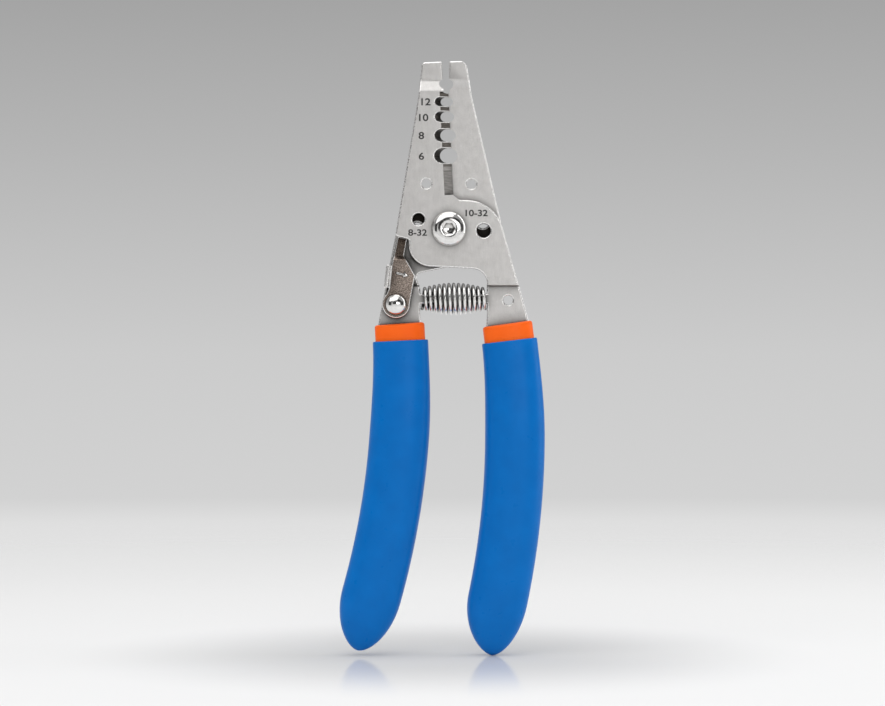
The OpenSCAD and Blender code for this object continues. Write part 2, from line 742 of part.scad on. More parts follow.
module outer_grip_shape(side) {
    color("royalblue") difference() {
        polyhedron(outer_points(side), tube_faces(grip_rings, grip_sides));
        under_solid(side);
    }
}

// The tool stands on its lowest grip tip, with the grips' reach to both sides centred on the origin
grip_points = concat(outer_points(1), outer_points(-1));
grip_x = [for (p = grip_points) p[0]];
pivot_x = -(min(grip_x) + max(grip_x)) / 2;
pivot_z = -min([for (p = grip_points) p[2]]);
echo(pivot_axis_x_mm = pivot_x, pivot_axis_z_mm = pivot_z);
echo(lock_axis_x_mm = pivot_x - lock_x, lock_axis_z_mm = pivot_z - lock_d);
module place() {
    translate([pivot_x, 0, pivot_z]) children();
}

module front_lever() { place() front_lever_shape(); }
module rear_lever() { place() rear_lever_shape(); }
module pivot_screw() { place() pivot_screw_shape(); }
module pivot_washer() { place() pivot_washer_shape(); }
module pivot_nut() { place() pivot_nut_shape(); }
module return_spring() { place() return_spring_shape(); }
module lock_lever() { place() lock_lever_shape(); }
module lock_rivet() { place() lock_rivet_shape(); }
module lock_washer() { place() lock_washer_shape(); }
module right_under_grip() { place() under_grip_shape(1); }
module left_under_grip() { place() under_grip_shape(-1); }
module right_outer_grip() { place() outer_grip_shape(1); }
module left_outer_grip() { place() outer_grip_shape(-1); }

front_lever();
rear_lever();
pivot_screw();
pivot_washer();
pivot_nut();
return_spring();
lock_lever();
lock_rivet();
lock_washer();
right_under_grip();
left_under_grip();
right_outer_grip();
left_outer_grip();
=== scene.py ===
# %% [markdown]
# # A wire stripper: satin steel, dipped vinyl and a little chrome
#
# The tool is two steel levers that cross on a screw. Each lever is a jaw at the top and a tang
# inside a dipped grip at the bottom. A barrel spring sits between the legs and a thumb lock
# holds the tool shut. The CAD solids fix every size and place; this lesson dresses them.

# %% Frame
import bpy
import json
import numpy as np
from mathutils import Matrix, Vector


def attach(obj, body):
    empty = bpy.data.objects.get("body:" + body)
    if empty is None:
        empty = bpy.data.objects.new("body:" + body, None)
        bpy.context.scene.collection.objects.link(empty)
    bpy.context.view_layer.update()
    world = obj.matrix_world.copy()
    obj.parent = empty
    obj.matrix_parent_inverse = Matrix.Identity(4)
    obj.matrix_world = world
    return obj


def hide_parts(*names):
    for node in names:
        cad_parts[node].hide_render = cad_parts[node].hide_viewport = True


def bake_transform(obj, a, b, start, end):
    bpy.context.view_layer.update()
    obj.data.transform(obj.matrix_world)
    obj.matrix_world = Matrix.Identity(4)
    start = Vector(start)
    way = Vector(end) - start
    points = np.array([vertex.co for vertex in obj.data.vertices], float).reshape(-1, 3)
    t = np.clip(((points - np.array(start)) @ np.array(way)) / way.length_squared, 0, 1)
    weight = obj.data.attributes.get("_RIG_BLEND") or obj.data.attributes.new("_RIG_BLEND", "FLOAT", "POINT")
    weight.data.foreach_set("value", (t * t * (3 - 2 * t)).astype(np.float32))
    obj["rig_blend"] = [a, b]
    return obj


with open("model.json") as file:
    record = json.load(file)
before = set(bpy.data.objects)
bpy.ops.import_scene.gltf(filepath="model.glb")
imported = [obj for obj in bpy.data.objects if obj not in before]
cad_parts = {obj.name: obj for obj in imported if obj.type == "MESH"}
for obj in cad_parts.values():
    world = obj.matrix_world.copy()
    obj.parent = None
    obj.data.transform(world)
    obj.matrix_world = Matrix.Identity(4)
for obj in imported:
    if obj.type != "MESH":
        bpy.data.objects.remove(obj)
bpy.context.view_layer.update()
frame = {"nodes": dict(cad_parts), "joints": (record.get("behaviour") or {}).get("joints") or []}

import json
import math
import bmesh
import bpy
from mathutils import Vector

MM = 0.001
places = {joint["name"]: Vector(joint["pos_m"]) for joint in frame["joints"]}
pivot = places["handle_pivot"]
lock_pin = places["lock_swing"]
for name, place in places.items():
    print(name, "turns at", [round(c / MM, 2) for c in place], "mm")

# %% [markdown]
# ## Camera
#
# The photograph looks straight at the tool's front, from far enough that the handles stay
# parallel to the picture. One pixel is 0.3063 mm at the tool. A long lens could also be a
# plain orthographic camera, but a real lens keeps the floor running away from us.

# %% Camera
def clear():
    if bpy.context.object and bpy.context.object.mode != "OBJECT":
        bpy.ops.object.mode_set(mode="OBJECT")
    bpy.ops.object.select_all(action="DESELECT")


picture_w, picture_h = 885, 706
pixel = 0.3063 * MM
pivot_px, pivot_py = 449, 229
camera_away = 0.9
film_w = 36
clear()
bpy.ops.object.camera_add(
    location=(
        pivot.x - (pivot_px - picture_w / 2) * pixel,
        -camera_away,
        pivot.z - (picture_h / 2 - pivot_py) * pixel,
    ),
    rotation=(math.pi / 2, 0, 0),
)
camera = bpy.context.object
camera.data.sensor_width = film_w
camera.data.lens = film_w * camera_away / (picture_w * pixel)
camera.data.clip_start = 0.01
bpy.context.scene.camera = camera
print("lens", round(camera.data.lens, 1), "mm")

# %% [markdown]
# ## Floor and backdrop
#
# Behind the tool is a plain grey sweep, darker towards the top, and a pale floor. A curved paper
# sweep would work from one side only. A round floor that fades out at its rim, on a world with
# a soft vertical gradient, works from every side. What the camera sees and what steel mirrors
# have a gradient each, because the mirrored one reaches higher, and all else gets a plain fill.

# %% Backdrop
scene = bpy.context.scene
scene.view_settings.view_transform = "Standard"
world = bpy.data.worlds.new("studio")
scene.world = world
world.use_nodes = True
sky = world.node_tree
sky.nodes.clear()
ray = sky.nodes.new("ShaderNodeLightPath")
seen = sky.nodes.new("ShaderNodeMath")
seen.operation = "ADD"
seen_all = sky.nodes.new("ShaderNodeMath")
seen_all.operation = "ADD"
seen_all.use_clamp = True
sky.links.new(ray.outputs["Is Camera Ray"], seen.inputs[0])
sky.links.new(ray.outputs["Is Glossy Ray"], seen.inputs[1])
sky.links.new(seen.outputs[0], seen_all.inputs[0])
sky.links.new(ray.outputs["Is Transmission Ray"], seen_all.inputs[1])
toward = sky.nodes.new("ShaderNodeTexCoord")
split = sky.nodes.new("ShaderNodeSeparateXYZ")
sky.links.new(toward.outputs["Generated"], split.inputs[0])
sweep_half = 0.25
height = sky.nodes.new("ShaderNodeMapRange")
height.inputs["From Min"].default_value = -sweep_half
height.inputs["From Max"].default_value = sweep_half
sky.links.new(split.outputs["Z"], height.inputs["Value"])


def sweep(steps):
    """A vertical gradient through (height, grey) steps."""
    ramp = sky.nodes.new("ShaderNodeValToRGB")
    while len(ramp.color_ramp.elements) < len(steps):
        ramp.color_ramp.elements.new(0.5)
    for stop, (at, grey) in zip(ramp.color_ramp.elements, steps):
        stop.position = at
        stop.color = (grey, grey, grey, 1)
    sky.links.new(height.outputs["Result"], ramp.inputs["Fac"])
    return ramp.outputs["Color"]


low_steps = [(0.0, 0.80), (0.36, 0.79), (0.385, 0.74), (0.402, 0.645), (0.5, 0.60)]
looked_at = sweep(low_steps + [(0.64, 0.46), (0.74, 0.37), (1.0, 0.34)])
mirrored = sweep(low_steps + [(0.78, 0.56), (0.88, 0.37), (1.0, 0.34)])
wall = sky.nodes.new("ShaderNodeMix")
wall.data_type = "RGBA"
sky.links.new(ray.outputs["Is Camera Ray"], wall.inputs[0])
sky.links.new(mirrored, wall.inputs[6])
sky.links.new(looked_at, wall.inputs[7])
backdrop = sky.nodes.new("ShaderNodeBackground")
sky.links.new(wall.outputs[2], backdrop.inputs["Color"])
fill_strength = 0.55
fill_light = sky.nodes.new("ShaderNodeBackground")
fill_light.inputs["Color"].default_value = (1, 1, 1, 1)
fill_light.inputs["Strength"].default_value = fill_strength
pick = sky.nodes.new("ShaderNodeMixShader")
sky.links.new(seen_all.outputs[0], pick.inputs["Fac"])
sky.links.new(fill_light.outputs[0], pick.inputs[1])
sky.links.new(backdrop.outputs[0], pick.inputs[2])
sky_out = sky.nodes.new("ShaderNodeOutputWorld")
sky.links.new(pick.outputs[0], sky_out.inputs["Surface"])
print("backdrop with", len(low_steps), "low steps and a fill of", fill_strength)

# %% [markdown]
# ## Floor
#
# The floor is matte paper under a thin gloss that mirrors the grip tips a little. The gloss is
# held to the place round the tool, or the far floor would mirror the wall as a dark band.

# %% Floor
floor_r = 1.05
fade_start, fade_end = 0.22, 0.75
polish_start, polish_end, most_polish = 0.12, 0.03, 0.85
floor_grey = 0.80
clear()
bpy.ops.mesh.primitive_circle_add(
    vertices=96, radius=floor_r, fill_type="NGON", location=(0, 0, 0)
)
floor = bpy.context.object
floor.name = "floor"
paper = bpy.data.materials.new("floor_paper")
paper.use_nodes = True
tree = paper.node_tree
tree.nodes.clear()
spot = tree.nodes.new("ShaderNodeTexCoord")
reach = tree.nodes.new("ShaderNodeVectorMath")
reach.operation = "LENGTH"
tree.links.new(spot.outputs["Object"], reach.inputs[0])
fade = tree.nodes.new("ShaderNodeMapRange")
fade.interpolation_type = "SMOOTHSTEP"
fade.inputs["From Min"].default_value = fade_start
fade.inputs["From Max"].default_value = fade_end
tree.links.new(reach.outputs["Value"], fade.inputs["Value"])
matte = tree.nodes.new("ShaderNodeBsdfDiffuse")
matte.inputs["Color"].default_value = (floor_grey, floor_grey, floor_grey, 1)
shine = tree.nodes.new("ShaderNodeBsdfGlossy")
shine.inputs["Roughness"].default_value = 0.1
slant = tree.nodes.new("ShaderNodeFresnel")
slant.inputs["IOR"].default_value = 1.45
polish = tree.nodes.new("ShaderNodeMapRange")
polish.interpolation_type = "SMOOTHSTEP"
polish.inputs["From Min"].default_value = polish_start
polish.inputs["From Max"].default_value = polish_end
polish.inputs["To Max"].default_value = most_polish
tree.links.new(reach.outputs["Value"], polish.inputs["Value"])
mirror = tree.nodes.new("ShaderNodeMath")
mirror.operation = "MULTIPLY"
tree.links.new(slant.outputs["Fac"], mirror.inputs[0])
tree.links.new(polish.outputs["Result"], mirror.inputs[1])
surface = tree.nodes.new("ShaderNodeMixShader")
tree.links.new(mirror.outputs[0], surface.inputs["Fac"])
tree.links.new(matte.outputs[0], surface.inputs[1])
tree.links.new(shine.outputs[0], surface.inputs[2])
gone = tree.nodes.new("ShaderNodeBsdfTransparent")
edge = tree.nodes.new("ShaderNodeMixShader")
tree.links.new(fade.outputs["Result"], edge.inputs["Fac"])
tree.links.new(surface.outputs[0], edge.inputs[1])
tree.links.new(gone.outputs[0], edge.inputs[2])
floor_out = tree.nodes.new("ShaderNodeOutputMaterial")
tree.links.new(edge.outputs[0], floor_out.inputs["Surface"])
floor.data.materials.append(paper)
print("floor", [round(d, 2) for d in floor.dimensions], "m")

# %% [markdown]
# ## Lamps
#
# Steel is lit by what it mirrors, so large soft panels matter more than strong ones. A high
# panel lights the slopes, a low strip behind the camera lights the flat faces, a strip at the
# right lights the edges and a smaller one above it the rounded corners, and one hangs overhead.
# Dark cards that only mirrors see stand between them and give chrome its black bands.

# %% Lamps
lit_point = Vector((0, 0, 0.09))


def panel(name, place, size, watts):
    clear()
    bpy.ops.object.light_add(type="AREA", location=place)
    lamp = bpy.context.object
    lamp.name = name
    lamp.rotation_euler = (lit_point - Vector(place)).to_track_quat("-Z", "Y").to_euler()
    lamp.data.shape = "RECTANGLE"
    lamp.data.size, lamp.data.size_y = size
    lamp.data.energy = watts
    return lamp


lamps = [
    panel("key", (-0.35, -0.75, 1.0), (1.4, 1.2), 6.5),
    panel("front_strip", (0.26, -1.2, 0.29), (0.42, 0.28), 0.9),
    panel("right_strip", (0.95, 0.02, 0.3), (0.5, 0.9), 2.4),
    panel("overhead", (0.0, 0.05, 1.15), (0.9, 0.7), 3.6),
    panel("corner_strip", (0.75, 0.03, 0.9), (0.45, 0.5), 1.2),
]
print("lamps", [(lamp.name, lamp.data.energy) for lamp in lamps])

# %% Dark cards
black_card = bpy.data.materials.new("black_card")
black_card.use_nodes = True
card_paint = black_card.node_tree.nodes["Principled BSDF"]
card_paint.inputs["Base Color"].default_value = (0.01, 0.01, 0.01, 1)


def dark_card(name, place, size, turn):
    clear()
    bpy.ops.mesh.primitive_plane_add(size=1, location=place, rotation=(math.pi / 2, 0, turn))
    card = bpy.context.object
    card.name = name
    card.scale = (*size, 1)
    card.data.materials.append(black_card)
    card.visible_camera = card.visible_diffuse = False
    card.visible_shadow = card.visible_transmission = False
    return card


cards = [
    dark_card("left_card", (-0.74, -0.72, 0.24), (0.5, 0.5), math.radians(-44)),
    dark_card("right_card", (0.74, -0.72, 0.24), (0.5, 0.5), math.radians(44)),
    dark_card("middle_card", (-0.22, -1.22, 0.28), (0.5, 0.3), 0),
    dark_card("high_card", (0.0, -1.25, 0.74), (2.0, 0.55), 0),
]
print("cards", [card.name for card in cards])

# %% [markdown]
# ## Tools for finishes
#
# A finish is a Principled shader with a few noise patterns on Object coordinates, in metres.
# `speckle` gives a number that wanders between two values, `tint` turns such a number into a
# colour, and `relief` turns it into small bumps. `shade` finds narrow corners, where the finishes
# paint shade, and `below` and `within` hold an effect to a part of the tool.

# %% Tools for finishes
def finish(name, **sockets):
    """A new finish with the same values all over; wire() adds the patterns."""
    made = bpy.data.materials.new(name)
    made.use_nodes = True
    shader = made.node_tree.nodes["Principled BSDF"]
    for socket, value in sockets.items():
        shader.inputs[socket.replace("_", " ")].default_value = value
    return made


def speckle(made, size, low, high, stretch=(1, 1, 1), detail=3.0, spread=0.2):
    nodes, links = made.node_tree.nodes, made.node_tree.links
    where = nodes.new("ShaderNodeTexCoord")
    turn = nodes.new("ShaderNodeMapping")
    turn.inputs["Scale"].default_value = stretch
    noise = nodes.new("ShaderNodeTexNoise")
    noise.inputs["Scale"].default_value = 1 / (size * MM)
    noise.inputs["Detail"].default_value = detail
    level = nodes.new("ShaderNodeMapRange")
    level.inputs["From Min"].default_value = 0.5 - spread
    level.inputs["From Max"].default_value = 0.5 + spread
    level.inputs["To Min"].default_value = low
    level.inputs["To Max"].default_value = high
    links.new(where.outputs["Object"], turn.inputs["Vector"])
    links.new(turn.outputs["Vector"], noise.inputs["Vector"])
    links.new(noise.outputs["Fac"], level.inputs["Value"])
    return level.outputs["Result"]


def tint(made, number, dark, light):
    ramp = made.node_tree.nodes.new("ShaderNodeValToRGB")
    ramp.color_ramp.elements[0].color = (*dark, 1)
    ramp.color_ramp.elements[1].color = (*light, 1)
    made.node_tree.links.new(number, ramp.inputs["Fac"])
    return ramp.outputs["Color"]


def blended(made, share, first, second, way="MIX"):
    """Two colours mixed by a number, or by a pattern."""
    mix = made.node_tree.nodes.new("ShaderNodeMix")
    mix.data_type = "RGBA"
    mix.blend_type = way
    links = made.node_tree.links
    if isinstance(share, float):
        mix.inputs[0].default_value = share
    else:
        links.new(share, mix.inputs[0])
    links.new(first, mix.inputs[6])
    links.new(second, mix.inputs[7])
    return mix.outputs[2]


def relief(made, number, depth, under=None):
    bump = made.node_tree.nodes.new("ShaderNodeBump")
    bump.inputs["Distance"].default_value = depth * MM
    made.node_tree.links.new(number, bump.inputs["Height"])
    if under:
        made.node_tree.links.new(under, bump.inputs["Normal"])
    return bump.outputs["Normal"]


def wire(made, **sockets):
    shader = made.node_tree.nodes["Principled BSDF"]
    for socket, output in sockets.items():
        made.node_tree.links.new(output, shader.inputs[socket.replace("_", " ")])


def shade(made, near, reach):
    """A number from 0 in a narrow corner to 1 in the open."""
    corner = made.node_tree.nodes.new("ShaderNodeAmbientOcclusion")
    corner.inputs["Distance"].default_value = reach * MM
    level = made.node_tree.nodes.new("ShaderNodeMapRange")
    level.inputs["From Min"].default_value = near
    made.node_tree.links.new(corner.outputs["AO"], level.inputs["Value"])
    return level.outputs["Result"]


def below(made, start, full):
    """A number from 0 at one height to 1 at a lower one, in mm from the pivot."""
    nodes, links = made.node_tree.nodes, made.node_tree.links
    where = nodes.new("ShaderNodeTexCoord")
    split = nodes.new("ShaderNodeSeparateXYZ")
    level = nodes.new("ShaderNodeMapRange")
    level.inputs["From Min"].default_value = pivot.z + start * MM
    level.inputs["From Max"].default_value = pivot.z + full * MM
    links.new(where.outputs["Object"], split.inputs["Vector"])
    links.new(split.outputs["Z"], level.inputs["Value"])
    return level.outputs["Result"]


def within(made, x, z, r):
    """1 inside a ball and 0 outside it, in mm from the pivot, in the plane between the heads."""
    soft = 0.1
    nodes, links = made.node_tree.nodes, made.node_tree.links
    where = nodes.new("ShaderNodeTexCoord")
    away = nodes.new("ShaderNodeVectorMath")
    away.operation = "DISTANCE"
    away.inputs[1].default_value = (pivot.x + x * MM, 0, pivot.z + z * MM)
    level = nodes.new("ShaderNodeMapRange")
    level.inputs["From Min"].default_value = (r + soft) * MM
    level.inputs["From Max"].default_value = r * MM
    links.new(where.outputs["Object"], away.inputs[0])
    links.new(away.outputs["Value"], level.inputs["Value"])
    return level.outputs["Result"]


# %% [markdown]
# ## Satin steel
#
# The levers are stamped, tumbled and left bright: a warm light grey with a fine grain and faint
# long scratches, with painted shade in the corners where plates meet, strongest below the pivot. The blades
# are ground and painted dark for the shade on their bevels, the screw-cutting bores are painted near black
# for the shade in them, and the edges are worn bright and painted lighter still as a highlight. A plain
# metal of one roughness would look like plastic foil, so roughness and colour both wander.

# %% Satin steel
screw_bores = [(-9.3, 2.9, 1.8), (10.6, -0.6, 2.1)]
steel = finish("satin_steel", Metallic=1.0)
cloud = speckle(steel, 2.2, 0.0, 1.0, detail=5.0)
scratch = speckle(steel, 0.35, 0.0, 1.0, stretch=(1, 1, 0.12), detail=5.0)
grain = speckle(steel, 0.22, 0.0, 1.0, detail=3.0)
plain = tint(steel, cloud, (0.56, 0.546, 0.532), (0.66, 0.645, 0.63))
worn = blended(steel, 0.2, plain, tint(steel, scratch, (0.47, 0.457, 0.444), (0.74, 0.723, 0.706)))
pitted = blended(steel, 0.22, worn, tint(steel, grain, (0.38, 0.368, 0.356), (0.84, 0.822, 0.804)))
# Painted shade: the steel is darkened in narrow corners and between plates, and more strongly below the
# pivot, where light from above reaches less.
soft_corner_shade = tint(steel, shade(steel, 0.1, 2.0), (0.05, 0.046, 0.042), (1, 1, 1))
deep_corner_shade = tint(steel, shade(steel, 0.44, 4.0), (0.035, 0.031, 0.028), (1, 1, 1))
bore_shade = tint(steel, shade(steel, 0.5, 4.0), (0.02, 0.018, 0.016), (0.35, 0.33, 0.31))
painted_shade = blended(steel, below(steel, -3.0, -9.0), soft_corner_shade, deep_corner_shade)
# Painted shade: round the screw bores the steel is darkened nearly to black, for the shade deep in the
# holes.
for x, z, r in screw_bores:
    painted_shade = blended(steel, within(steel, x, z, r), painted_shade, bore_shade)
wire(
    steel,
    Base_Color=blended(steel, 1.0, pitted, painted_shade, "MULTIPLY"),
    Roughness=speckle(steel, 0.9, 0.33, 0.42),
    Normal=relief(steel, grain, 0.008, relief(steel, scratch, 0.003)),
)

# Painted shade: the ground bevels are dark for the shade on their steep faces. They are darker again from
# 19.4 mm above the pivot upwards, over the notches and their lands, and darkened in narrow corners.
shaded_ground = finish("ground_steel_in_shade", Metallic=1.0)
stroke = speckle(shaded_ground, 0.35, 0.0, 1.0, stretch=(0.08, 0.08, 1), detail=4.0)
wire(
    shaded_ground,
    Base_Color=blended(
        shaded_ground,
        1.0,
        blended(
            shaded_ground,
            1.0,
            tint(shaded_ground, stroke, (0.10, 0.095, 0.090), (0.21, 0.201, 0.192)),
            tint(shaded_ground, below(shaded_ground, 19.4, 18.8), (0.42, 0.40, 0.38), (1, 1, 1)),
            "MULTIPLY",
        ),
        tint(shaded_ground, shade(shaded_ground, 0.5, 3.0), (0.03, 0.028, 0.026), (1, 1, 1)),
        "MULTIPLY",
    ),
    Roughness=speckle(shaded_ground, 0.6, 0.26, 0.40, stretch=(0.1, 0.1, 1)),
    Normal=relief(shaded_ground, stroke, 0.008),
)

# Painted shade: the bore walls are near black for the shade deep in the holes; the thread marks are real.
dark_bore = finish("bore_painted_dark", Metallic=1.0)
thread = speckle(dark_bore, 0.4, 0.0, 1.0, stretch=(0.2, 1, 0.2))
wire(
    dark_bore,
    Base_Color=tint(dark_bore, thread, (0.012, 0.011, 0.010), (0.055, 0.050, 0.046)),
    Roughness=speckle(dark_bore, 0.5, 0.28, 0.45),
    Normal=relief(dark_bore, thread, 0.02),
)

# Partly painted highlight: the broken edges are worn bright, and their colour is made lighter still so that
# they shine like lit edges.
worn_edge_glint = finish("worn_edge_glint_finish", Metallic=1.0)
nick = speckle(worn_edge_glint, 0.5, 0.0, 1.0)
wire(
    worn_edge_glint,
    Base_Color=tint(worn_edge_glint, nick, (0.76, 0.745, 0.73), (0.90, 0.89, 0.88)),
    Roughness=speckle(worn_edge_glint, 0.4, 0.20, 0.32),
    Normal=relief(worn_edge_glint, nick, 0.004),
)
print("steel finishes", steel.name, shaded_ground.name, dark_bore.name, worn_edge_glint.name)

# %% [markdown]
# ## Chrome, wire and burnished sheet
#
# The screw and rivet are plated and almost mirrors, with faint handling smears and painted shade in their
# narrow corners. The washers are duller zinc, and the spring is drawn wire with painted shade between its
# turns. The lock is a thin hardened sheet, burnished dark brown and finely mottled, with painted shade that
# makes it darkest at its set-back tip and dark round the rivet.

# %% Chrome, wire and burnished sheet
chrome = finish("bright_chrome", Metallic=1.0)
smear = speckle(chrome, 1.6, 0.0, 1.0)
wire(
    chrome,
    Base_Color=blended(
        chrome,
        1.0,
        tint(chrome, smear, (0.74, 0.73, 0.71), (0.86, 0.85, 0.84)),
        # Painted shade: the plating is darkened in narrow corners, such as at the rim of the screw head and
        # in the socket.
        tint(chrome, shade(chrome, 0.34, 1.1), (0.10, 0.09, 0.08), (1, 1, 1)),
        "MULTIPLY",
    ),
    Roughness=speckle(chrome, 0.7, 0.06, 0.15),
    Normal=relief(chrome, speckle(chrome, 0.5, 0.0, 1.0), 0.003),
)

zinc = finish("zinc_plate", Metallic=1.0)
bloom = speckle(zinc, 1.1, 0.0, 1.0)
wire(
    zinc,
    Base_Color=tint(zinc, bloom, (0.46, 0.45, 0.44), (0.62, 0.61, 0.60)),
    Roughness=speckle(zinc, 0.5, 0.26, 0.40),
    Normal=relief(zinc, speckle(zinc, 0.2, 0.0, 1.0), 0.005),
)

drawn = finish("drawn_wire", Metallic=1.0)
streak = speckle(drawn, 0.12, 0.0, 1.0, stretch=(1, 0.1, 0.1))
wire(
    drawn,
    Base_Color=blended(
        drawn,
        1.0,
        tint(drawn, streak, (0.78, 0.77, 0.75), (0.92, 0.91, 0.90)),
        # Painted shade: the wire is darkened where the turns shade each other and inside the coil.
        tint(drawn, shade(drawn, 0.36, 7.0), (0.03, 0.03, 0.03), (1, 1, 1)),
        "MULTIPLY",
    ),
    Roughness=speckle(drawn, 0.4, 0.16, 0.26),
    Normal=relief(drawn, streak, 0.003),
)

burnish = finish("burnished_sheet", Metallic=1.0)
mottle = speckle(burnish, 0.3, 0.0, 1.0, detail=4.0)
wire(
    burnish,
    Base_Color=blended(
        burnish,
        1.0,
        # Painted shade: the sheet gets darker upwards from 11.5 mm below the pivot, towards its set-back
        # tip, and is darkened in narrow corners such as round the rivet.
        blended(
            burnish,
            1.0,
            tint(burnish, mottle, (0.15, 0.115, 0.096), (0.48, 0.402, 0.35)),
            tint(burnish, below(burnish, -7.5, -11.5), (0.32, 0.30, 0.28), (1, 1, 1)),
            "MULTIPLY",
        ),
        tint(burnish, shade(burnish, 0.5, 4.0), (0.06, 0.05, 0.045), (1, 1, 1)),
        "MULTIPLY",
    ),
    Roughness=speckle(burnish, 0.7, 0.20, 0.32),
    Normal=relief(burnish, mottle, 0.012),
)
print("small metal finishes", chrome.name, zinc.name, drawn.name, burnish.name)

# %% [markdown]
# ## Dipped vinyl and print
#
# Each tang is dipped twice: first in orange, then, less deep, in blue. Dipped vinyl is glossy
# and a little wavy, because it sagged while it set. The size marks are dark ink on the steel.

# %% Dipped vinyl and print
def vinyl(name, dark, light):
    made = finish(name, IOR=1.5, Specular_IOR_Level=0.12)
    sag = speckle(made, 9.0, 0.0, 1.0, stretch=(1, 1, 0.35), detail=1.0)
    peel = speckle(made, 0.7, 0.0, 1.0, detail=2.0)
    wire(
        made,
        Base_Color=tint(made, speckle(made, 7.0, 0.0, 1.0), dark, light),
        Roughness=speckle(made, 2.5, 0.27, 0.38),
        Normal=relief(made, peel, 0.004, relief(made, sag, 0.05)),
    )
    return made


blue = vinyl("blue_vinyl", (0.0, 0.136, 0.468), (0.0, 0.152, 0.512))
orange = vinyl("orange_vinyl", (0.95, 0.126, 0.009), (1.0, 0.150, 0.014))

ink = finish("dark_ink", Roughness=0.5)
patchy = speckle(ink, 0.25, 0.0, 1.0)
wire(ink, Base_Color=tint(ink, patchy, (0.008, 0.0075, 0.007), (0.03, 0.028, 0.027)))
print("soft finishes", blue.name, orange.name, ink.name)


# %% [markdown]
# ## Two ways to make a piece
#
# Stamped plates begin as a copy of their CAD mesh, merged, with the sharp edges broken in edit
# mode. Round and dipped pieces begin as a circle that is extruded ring by ring, each new ring
# set on the section that the piece has there.

# %% Finishing a piece
same_point = 0.001 * MM


def dress(piece, finishes):
    """Gives the piece its finishes and keeps which face has which."""
    kept = [face.material_index for face in piece.data.polygons]
    piece.data.materials.clear()
    for made in finishes:
        piece.data.materials.append(made)
    for face, index in zip(piece.data.polygons, kept):
        face.material_index = min(index, len(finishes) - 1)


def own(piece, name, finishes, body, slot, *nodes):
    """Names the piece, dresses it and ties it to its body and the solids it covers. The slot is not used."""
    clear()
    piece.name = piece.data.name = name
    dress(piece, finishes)
    if body:
        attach(piece, body)
    if nodes:
        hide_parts(*nodes)
    size = [round(d / MM, 1) for d in piece.dimensions]
    print(name, len(piece.data.polygons), "faces", size, "mm")
    return piece


def edit(piece):
    clear()
    bpy.context.view_layer.objects.active = piece
    piece.select_set(True)
    bpy.ops.object.mode_set(mode="EDIT")
    bpy.ops.mesh.select_mode(type="EDGE")
    bpy.ops.mesh.select_all(action="SELECT")


# %% Plates from their CAD mesh
def cad_copy(node, finishes, weld):
    """The CAD mesh with whole flat faces. Points closer than weld merge, so that edges round well."""
    piece = bpy.data.objects.new(node + "_copy", frame["nodes"][node].data.copy())
    scene.collection.objects.link(piece)
    dress(piece, finishes)
    edit(piece)
    bpy.ops.mesh.customdata_custom_splitnormals_clear()
    bpy.ops.mesh.remove_doubles(threshold=same_point)
    bpy.ops.mesh.dissolve_limited(angle_limit=math.radians(0.3))
    bpy.ops.mesh.select_all(action="SELECT")
    bpy.ops.mesh.remove_doubles(threshold=weld * MM)
    return piece


def break_edges(piece, wanted, width, steps=3, finish_place=-1):
    """Rounds the edges that wanted() accepts, by their middle and their faces."""
    edit(piece)
    bpy.ops.mesh.select_all(action="DESELECT")
    shape = bmesh.from_edit_mesh(piece.data)
    count = 0
    for line in shape.edges:
        middle = (line.verts[0].co + line.verts[1].co) / 2 - pivot
        if len(line.link_faces) == 2 and wanted(middle / MM, line):
            line.select_set(True)
            count += 1
    bmesh.update_edit_mesh(piece.data)
    bpy.ops.mesh.bevel(
        offset=width * MM,
        offset_type="OFFSET",
        segments=steps,
        affect="EDGES",
        clamp_overlap=False,
        loop_slide=False,
        material=finish_place,
    )
    return count


def sharp(line):
    return line.is_convex and line.calc_face_angle() > math.radians(20)


def outline(line):
    """True where a wall of the plate meets its front or back."""
    across = sorted(abs(face.normal.y) for face in line.link_faces)
    return line.is_convex and across[0] < 0.3 and across[1] > 0.7


def bend(line):
    """True where the plate is bent."""
    across = min(abs(face.normal.y) for face in line.link_faces)
    return across > 0.7 and line.calc_face_angle() > math.radians(5)


def smooth(piece, degrees=32, flat_faces=False):
    clear()
    bpy.context.view_layer.objects.active = piece
    piece.select_set(True)
    bpy.ops.object.shade_smooth_by_angle(angle=math.radians(degrees))
    if flat_faces:
        bpy.ops.object.modifier_add(type="WEIGHTED_NORMAL")
        piece.modifiers[-1].keep_sharp = True
        bpy.ops.object.modifier_apply(modifier=piece.modifiers[-1].name)


# %% Round and dipped pieces from rings
def ring_chain(rings, points=96):
    """A skin through rings. A ring is a function from a turn to a place, and equal places merge."""
    clear()
    bpy.ops.mesh.primitive_circle_add(vertices=points, radius=1.0)
    piece = bpy.context.object
    bpy.ops.object.mode_set(mode="EDIT")
    bpy.ops.mesh.select_mode(type="EDGE")
    bpy.ops.mesh.select_all(action="SELECT")
    shape = bmesh.from_edit_mesh(piece.data)
    turn = shape.verts.layers.float.new("turn")
    for point in shape.verts:
        point[turn] = math.atan2(point.co.y, point.co.x)
    for number, ring in enumerate(rings):
        if number:
            bpy.ops.mesh.extrude_region_move()
            shape = bmesh.from_edit_mesh(piece.data)
            turn = shape.verts.layers.float["turn"]
        for point in shape.verts:
            if point.select:
                point.co = ring(point[turn])
        bmesh.update_edit_mesh(piece.data)
    bpy.ops.mesh.select_all(action="SELECT")
    bpy.ops.mesh.remove_doubles(threshold=same_point)
    bpy.ops.mesh.normals_make_consistent(inside=False)
    bpy.ops.object.mode_set(mode="OBJECT")
    piece.data.attributes.remove(piece.data.attributes["turn"])
    return piece


